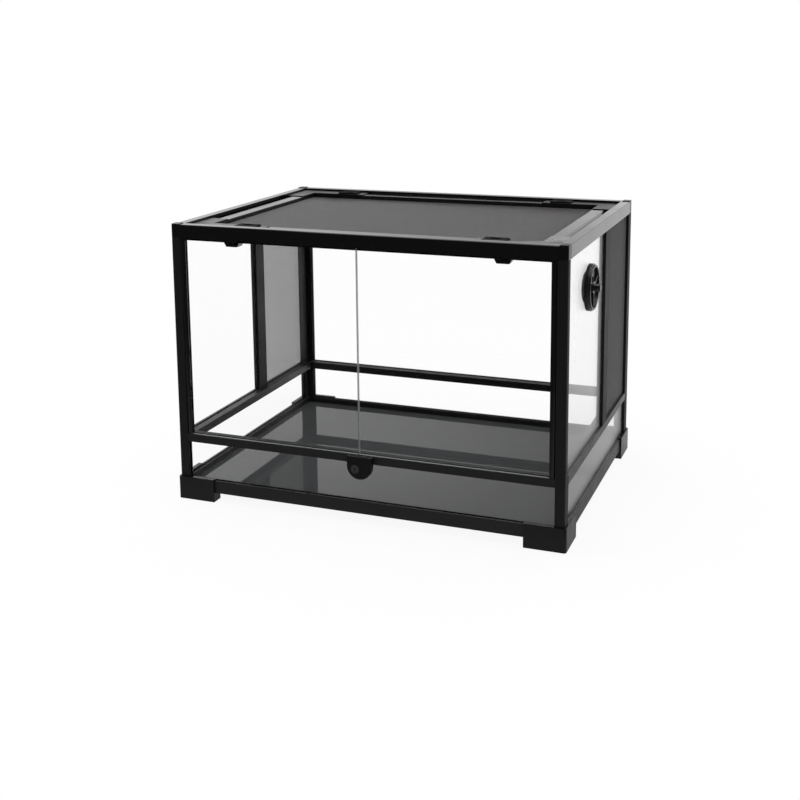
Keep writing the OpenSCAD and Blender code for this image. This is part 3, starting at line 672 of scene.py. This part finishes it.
@dataclass
class Vents(WireCloth):
    """The screened rear halves of the two sides."""

    # Where a sheet lies, from the middle of the frame
    y0: float = 40.1
    y1: float = 215.9
    z0: float = 100.0
    z1: float = 422.8
    # Outer side of the slot that holds it, and how far in from there the sheet starts
    outer: float = 300.5
    inset: float = 0.5
    hem: float = 5.0
    hem_depth: float = 3.4

    def build(self) -> None:
        """Builds both screens, each with its folded hem."""
        for name, side in (("vent_screen_left", -1), ("vent_screen_right", 1)):
            self.screen(name, side)

    def screen(self, name: str, side: int) -> None:
        """Builds one screen.

        Args:
            name: Name of the piece.
            side: -1 for the left side of the tank, 1 for the right.
        """
        width, height = self.y1 - self.y0, self.z1 - self.z0
        bm = self.cloth(width - self.hem, height - self.hem)
        sheet = bmesh.ops.create_grid(bm, x_segments=1, y_segments=1, size=0.5)["verts"]
        bmesh.ops.scale(bm, verts=sheet, vec=(width, height, 1))
        middle_face = sheet[0].link_faces[0]
        bmesh.ops.inset_region(bm, faces=[middle_face], thickness=self.hem)
        bmesh.ops.delete(bm, geom=[middle_face], context="FACES_ONLY")
        ring = list(dict.fromkeys(f for v in sheet for f in v.link_faces))
        made = bmesh.ops.extrude_face_region(bm, geom=ring)["geom"]
        verts = [g for g in made if isinstance(g, bmesh.types.BMVert)]
        bmesh.ops.translate(bm, verts=verts, vec=(0, 0, -self.hem_depth))
        bmesh.ops.translate(bm, verts=bm.verts[:], vec=(0, 0, -self.inset))
        # Cloth X becomes row Y, cloth Y becomes Z, and its top faces outwards
        place = Matrix(((0, 0, side, side * self.outer), (1, 0, 0, 0), (0, 1, 0, 0), (0, 0, 0, 1)))
        middle = Vector((0, (self.y0 + self.y1) / 2, (self.z0 + self.z1) / 2))
        bmesh.ops.transform(bm, verts=bm.verts[:], matrix=place)
        bmesh.ops.translate(bm, verts=bm.verts[:], vec=middle + SHIFT)
        bmesh.ops.scale(bm, verts=bm.verts[:], vec=(MM, MM, MM))
        obj = mesh_object(name, bm, self.palette.get(Finish.SCREEN))
        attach(obj, "frame")
        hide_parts(name.replace("vent_screen", "vent_mesh"))


@dataclass
class Lid(WireCloth):
    """The lift-off lid: bars, corner pieces, wire cloth and four latches."""

    half_x: float = 269.8
    half_y: float = 193.3
    level: float = 421.55
    bar_edge: float = 0.3
    corner_edge: float = 0.4
    latch_edge: float = 0.3

    def build(self) -> None:
        """Dresses the lid and builds its wire cloth."""
        self.dress([f"lid_bar_{s}" for s in SIDES], Finish.LID_BAR, self.bar_edge)
        self.dress([f"lid_corner_{c}" for c in CORNERS], Finish.MOULDING, self.corner_edge)
        self.dress([f"lid_latch_{c}" for c in CORNERS], Finish.LATCH, self.latch_edge)
        bm = self.cloth(2 * self.half_x, 2 * self.half_y)
        bmesh.ops.translate(bm, verts=bm.verts[:], vec=SHIFT + Vector((0, 0, self.level)))
        bmesh.ops.scale(bm, verts=bm.verts[:], vec=(MM, MM, MM))
        obj = mesh_object("lid_screen", bm, self.palette.get(Finish.SCREEN))
        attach(obj, "lid")
        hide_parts("lid_mesh")


@dataclass
class Lock(SubAssembly):
    """The lock on the door sill, below the gap between the doors."""

    housing_edge: float = 0.5
    inner_edge: float = 0.2

    def build(self) -> None:
        """Dresses the lock."""
        self.dress(["lock_housing"], Finish.LOCK, self.housing_edge)
        self.dress(["lock_bolt"], Finish.LOCK, self.inner_edge)
        self.dress(["lock_cylinder"], Finish.KEY_BARREL, self.inner_edge)


@dataclass
class CablePort(SubAssembly):
    """The round port with its shutter on the right side."""

    disc_edge: float = 0.4
    nut_edge: float = 0.15

    def build(self) -> None:
        """Dresses the port."""
        self.dress(["port_flange", "port_shutter"], Finish.PORT, self.disc_edge)
        self.dress(["port_nut"], Finish.PORT, self.nut_edge)


# --------------------------------------------------------------------------- studio
@dataclass
class Studio:
    """Plain pale floor, soft lamps and the camera of the photograph."""

    # Camera: angles in degrees, place in mm from the middle of the frame
    yaw: float = -21.027
    pitch: float = 9.87
    roll: float = -0.525
    lens: float = 54.78
    place: tuple[float, float, float] = (666.6, -1794.8, 720.6)
    # The photograph shows its tank above the middle, and less shift keeps other views whole
    shift_y: float = -0.2
    # Strength of the surround as light on matt surfaces, and to the eye
    surround_light: float = 0.75
    surround_seen: float = 1.0
    # Name, place and size in metres, and power in watts of each lamp
    lamps: list[tuple[str, tuple[float, float, float], float, float]] = field(
        default_factory=lambda: [
            ("lamp_above", (0.0, 0.2, 2.2), 2.0, 26.0),
            ("lamp_left", (-2.2, -0.6, 1.6), 1.4, 10.0),
        ]
    )

    def build(self) -> None:
        """Makes the camera, the world, the lamps and the floor."""
        self.camera()
        self.world()
        self.floor()
        for name, where, size, power in self.lamps:
            self.lamp(name, where, size, power)
        bpy.context.scene.view_settings.view_transform = "Standard"

    def camera(self) -> None:
        """Places the camera at the photograph's viewpoint."""
        yaw, pitch, roll = (math.radians(a) for a in (self.yaw, self.pitch, self.roll))
        ahead = Vector(
            (math.sin(yaw) * math.cos(pitch), math.cos(yaw) * math.cos(pitch), -math.sin(pitch))
        )
        right = Vector((math.cos(yaw), -math.sin(yaw), 0.0))
        up = right.cross(ahead)
        side = right * math.cos(roll) + up * math.sin(roll)
        top = up * math.cos(roll) - right * math.sin(roll)
        turn = Matrix((side, top, -ahead)).transposed()
        data = bpy.data.cameras.new("camera")
        data.lens = self.lens
        data.sensor_width = 36.0
        data.shift_y = self.shift_y
        data.clip_start = 0.05
        data.clip_end = 50.0
        cam = bpy.data.objects.new("camera", data)
        cam.matrix_world = Matrix.Translation(point(*self.place)) @ turn.to_4x4()
        bpy.context.scene.collection.objects.link(cam)
        bpy.context.scene.camera = cam

    @staticmethod
    def sight(tree: bpy.types.NodeTree) -> bpy.types.NodeSocket:
        """Adds nodes that tell rays of sight from rays of light.

        Args:
            tree: Node tree that gets them.

        Returns:
            A socket that is 1 where the camera looks, straight or through glass.
        """
        rays = add_node(tree, "ShaderNodeLightPath")
        seen = add_node(
            tree,
            "ShaderNodeMath",
            settings={"operation": "MAXIMUM"},
            links={0: rays.outputs["Is Camera Ray"], 1: rays.outputs["Is Transmission Ray"]},
        )
        return seen.outputs[0]

    def world(self) -> None:
        """Makes a white surround for sight, and a room that is darker in front for mirrors."""
        world = bpy.data.worlds.new("studio")
        bpy.context.scene.world = world
        world.use_nodes = True
        tree = world.node_tree
        tree.nodes.clear()
        out = add_node(tree, "ShaderNodeOutputWorld")
        coords = add_node(tree, "ShaderNodeTexCoord")
        axes = add_node(tree, "ShaderNodeSeparateXYZ", links={0: coords.outputs["Generated"]})
        # Bright behind the tank and dark behind the camera
        room = add_node(
            tree,
            "ShaderNodeMapRange",
            settings={"interpolation_type": "SMOOTHSTEP"},
            links={"Value": axes.outputs["Y"]},
            values={"From Min": -0.35, "From Max": 0.25, "To Min": 0.04, "To Max": 1.0},
        )
        # A wide bright wall stands to the left, so the room dims towards the middle
        side = add_node(
            tree,
            "ShaderNodeMapRange",
            links={"Value": axes.outputs["X"]},
            values={"From Min": -0.5, "From Max": -0.15, "To Min": 1.15, "To Max": 0.32},
        )
        # A second one stands to the right, with its edge on a slant
        slant = add_node(
            tree,
            "ShaderNodeMath",
            settings={"operation": "SUBTRACT"},
            links={0: axes.outputs["X"], 1: axes.outputs["Z"]},
        )
        right = add_node(
            tree,
            "ShaderNodeMapRange",
            links={"Value": slant.outputs[0]},
            values={"From Min": -0.44, "From Max": -0.3, "To Min": 0.0, "To Max": 0.85},
        )
        both = add_node(
            tree,
            "ShaderNodeMath",
            settings={"operation": "ADD"},
            links={0: side.outputs["Result"], 1: right.outputs["Result"]},
        )
        lit = add_node(
            tree,
            "ShaderNodeMath",
            settings={"operation": "MULTIPLY"},
            links={0: room.outputs["Result"], 1: both.outputs[0]},
        )
        rays = add_node(tree, "ShaderNodeLightPath")
        mirrored = add_node(
            tree,
            "ShaderNodeMix",
            settings={"data_type": "FLOAT"},
            links={"Factor": rays.outputs["Is Glossy Ray"], "B": lit.outputs[0]},
            values={"A": self.surround_light},
        )
        strength = add_node(
            tree,
            "ShaderNodeMix",
            settings={"data_type": "FLOAT"},
            links={"Factor": self.sight(tree), "A": mirrored.outputs[0]},
            values={"B": self.surround_seen},
        )
        back = add_node(
            tree,
            "ShaderNodeBackground",
            links={"Strength": strength.outputs[0]},
            values={"Color": (1, 1, 1, 1)},
        )
        tree.links.new(back.outputs["Background"], out.inputs["Surface"])

    def floor(self) -> None:
        """Makes the floor: white to the eye, with the tank's soft shadow."""
        bm = bmesh.new()
        bmesh.ops.create_grid(bm, x_segments=1, y_segments=1, size=6.0)
        bmesh.ops.translate(bm, verts=bm.verts[:], vec=(0, 0, -0.4 * MM))
        mat, out, coords = blank_material("studio_floor")
        tree = mat.node_tree
        axes = add_node(tree, "ShaderNodeSeparateXYZ", links={0: coords.outputs["Object"]})
        # What the tank mirrors of the floor is dark in front and grows lighter to the rear
        fall = add_node(
            tree,
            "ShaderNodeMapRange",
            settings={"interpolation_type": "SMOOTHSTEP"},
            links={"Value": axes.outputs["Y"]},
            values={"From Min": -1.1, "From Max": 0.2, "To Min": 0.04, "To Max": 0.55},
        )
        # Far behind the tank the floor is as white as the surround
        far = add_node(
            tree,
            "ShaderNodeMapRange",
            settings={"interpolation_type": "SMOOTHSTEP"},
            links={"Value": axes.outputs["Y"]},
            values={"From Min": 0.1, "From Max": 0.6, "To Min": 0.0, "To Max": 0.47},
        )
        shine = add_node(
            tree, "ShaderNodeMath", links={0: fall.outputs["Result"], 1: far.outputs["Result"]}
        )
        glow = add_node(tree, "ShaderNodeEmission", links={"Strength": shine.outputs[0]})
        white = add_node(tree, "ShaderNodeEmission", values={"Strength": 1.0})
        matt = add_node(tree, "ShaderNodeBsdfDiffuse", values={"Color": (0.85, 0.85, 0.85, 1)})
        # The shadow fades out before the edge of the sheet, which blends into the surround
        reach = add_node(
            tree,
            "ShaderNodeVectorMath",
            settings={"operation": "LENGTH"},
            links={0: coords.outputs["Object"]},
        )
        share = add_node(
            tree,
            "ShaderNodeMapRange",
            settings={"interpolation_type": "SMOOTHSTEP"},
            links={"Value": reach.outputs["Value"]},
            values={"From Min": 0.35, "From Max": 0.75, "To Min": 0.08, "To Max": 0.0},
        )
        seen = add_node(
            tree,
            "ShaderNodeMixShader",
            links={
                0: share.outputs["Result"],
                1: white.outputs["Emission"],
                2: matt.outputs["BSDF"],
            },
        )
        rays = add_node(tree, "ShaderNodeLightPath")
        mirrored = add_node(
            tree,
            "ShaderNodeMixShader",
            links={
                0: rays.outputs["Is Glossy Ray"],
                1: matt.outputs["BSDF"],
                2: glow.outputs["Emission"],
            },
        )
        final = add_node(
            tree,
            "ShaderNodeMixShader",
            links={0: self.sight(tree), 1: mirrored.outputs["Shader"], 2: seen.outputs["Shader"]},
        )
        tree.links.new(final.outputs["Shader"], out.inputs["Surface"])
        mesh_object("studio_floor", bm, mat)

    @staticmethod
    def lamp(name: str, where: tuple[float, float, float], size: float, power: float) -> None:
        """Hangs one soft square lamp that points at the middle of the tank.

        Args:
            name: Name of the lamp.
            where: Its place in metres.
            size: Side of the square in metres.
            power: Power in watts.
        """
        data = bpy.data.lights.new(name, "AREA")
        data.size = size
        data.energy = power
        obj = bpy.data.objects.new(name, data)
        obj.location = where
        aim = Vector((0, 0, 0.2)) - Vector(where)
        obj.rotation_mode = "QUATERNION"
        obj.rotation_quaternion = aim.to_track_quat("-Z", "Y")
        bpy.context.scene.collection.objects.link(obj)


def main() -> None:
    """Builds the whole scene."""
    logging.basicConfig(level=logging.INFO, format="%(name)s: %(message)s")
    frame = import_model()
    palette = Palette()
    Studio().build()
    parts = [Carcass, Glazing, Vents, Lid, Lock, CablePort]
    for part in parts:
        part(frame, palette).build()
        LOG.info("%s done", part.__name__)
    bpy.context.view_layer.update()


if __name__ == "__main__":
    main()
